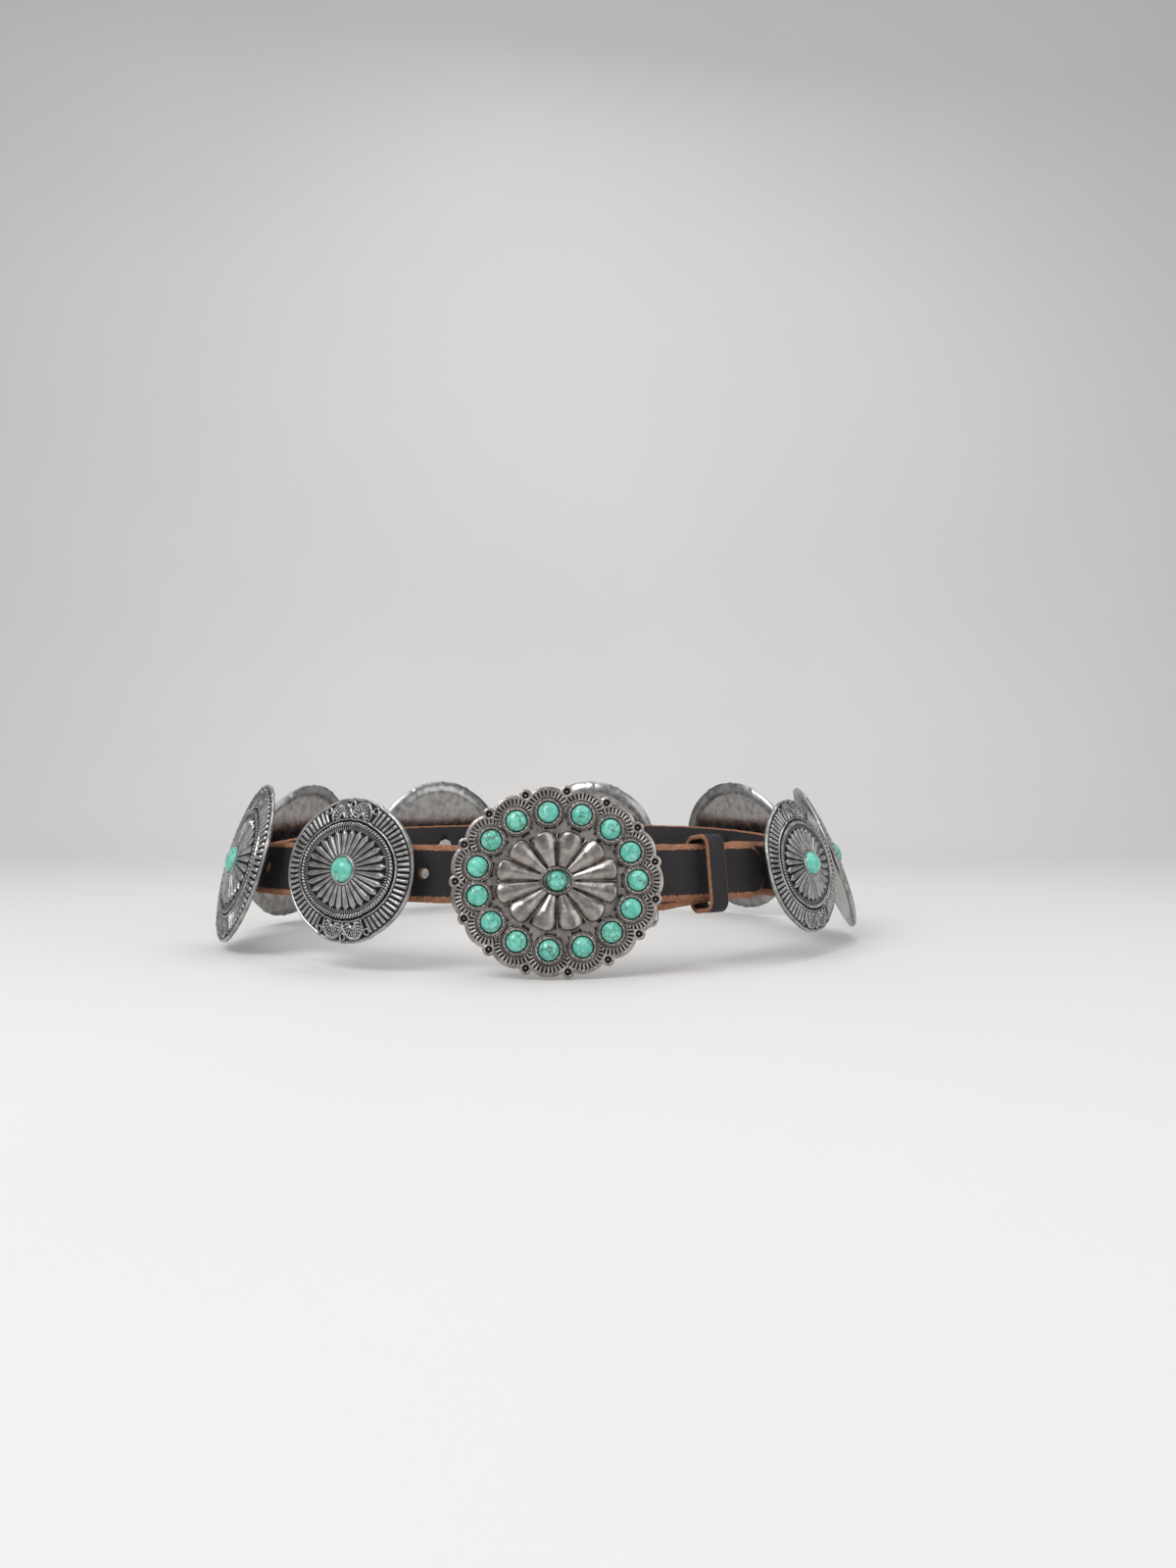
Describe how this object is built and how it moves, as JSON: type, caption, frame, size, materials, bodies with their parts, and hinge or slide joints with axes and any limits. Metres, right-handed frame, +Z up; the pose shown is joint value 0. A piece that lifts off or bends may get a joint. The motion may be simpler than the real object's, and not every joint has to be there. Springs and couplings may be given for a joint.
{
  "type": "concho belt",
  "caption": "Black leather belt fastened as worn, with an oval stone-set plate buckle, a leather keeper and oval silver conchos with turquoise centres.",
  "frame": {"origin": "middle of the waist hollow, at the mid height of the strap", "axes": "+Z up the wearer, -Y out of the front where the buckle is, +X to the side that the strap tail points to"},
  "size_m": [0.3346, 0.2953, 0.0823],
  "materials": {
    "strap_leather": "matte oiled, raw tan edges",
    "keeper_leather": "matte oiled, raw tan edges",
    "buckle_silver": "antique silver, dark recesses",
    "concho_silver": "antique silver, dark recesses",
    "fastener_steel": "satin",
    "turquoise": "polished, fine dark veins"
  },
  "bodies": {
    "root": {"buckle_bar": "fastener_steel", "buckle_plate": "buckle_silver", "buckle_stone_1": "turquoise", "buckle_stone_2": "turquoise", "buckle_stone_3": "turquoise", "buckle_stone_4": "turquoise", "buckle_stone_5": "turquoise", "buckle_stone_6": "turquoise", "buckle_stone_7": "turquoise", "buckle_stone_8": "turquoise", "buckle_stone_9": "turquoise", "buckle_stone_10": "turquoise", "buckle_stone_11": "turquoise", "buckle_stone_12": "turquoise", "buckle_stone_13": "turquoise", "buckle_stone_14": "turquoise", "buckle_stone_15": "turquoise", "buckle_stone_centre": "turquoise", "concho_plate_1": "concho_silver", "concho_plate_2": "concho_silver", "concho_plate_3": "concho_silver", "concho_plate_4": "concho_silver", "concho_plate_5": "concho_silver", "concho_plate_6": "concho_silver", "concho_plate_7": "concho_silver", "concho_plate_8": "concho_silver", "concho_screw_1": "fastener_steel", "concho_screw_2": "fastener_steel", "concho_screw_3": "fastener_steel", "concho_screw_4": "fastener_steel", "concho_screw_5": "fastener_steel", "concho_screw_6": "fastener_steel", "concho_screw_7": "fastener_steel", "concho_screw_8": "fastener_steel", "concho_stone_1": "turquoise", "concho_stone_2": "turquoise", "concho_stone_3": "turquoise", "concho_stone_4": "turquoise", "concho_stone_5": "turquoise", "concho_stone_6": "turquoise", "concho_stone_7": "turquoise", "concho_stone_8": "turquoise", "fold_rivet": "fastener_steel", "keeper_loop": "keeper_leather", "strap": "strap_leather"}
  },
  "joints": []
}
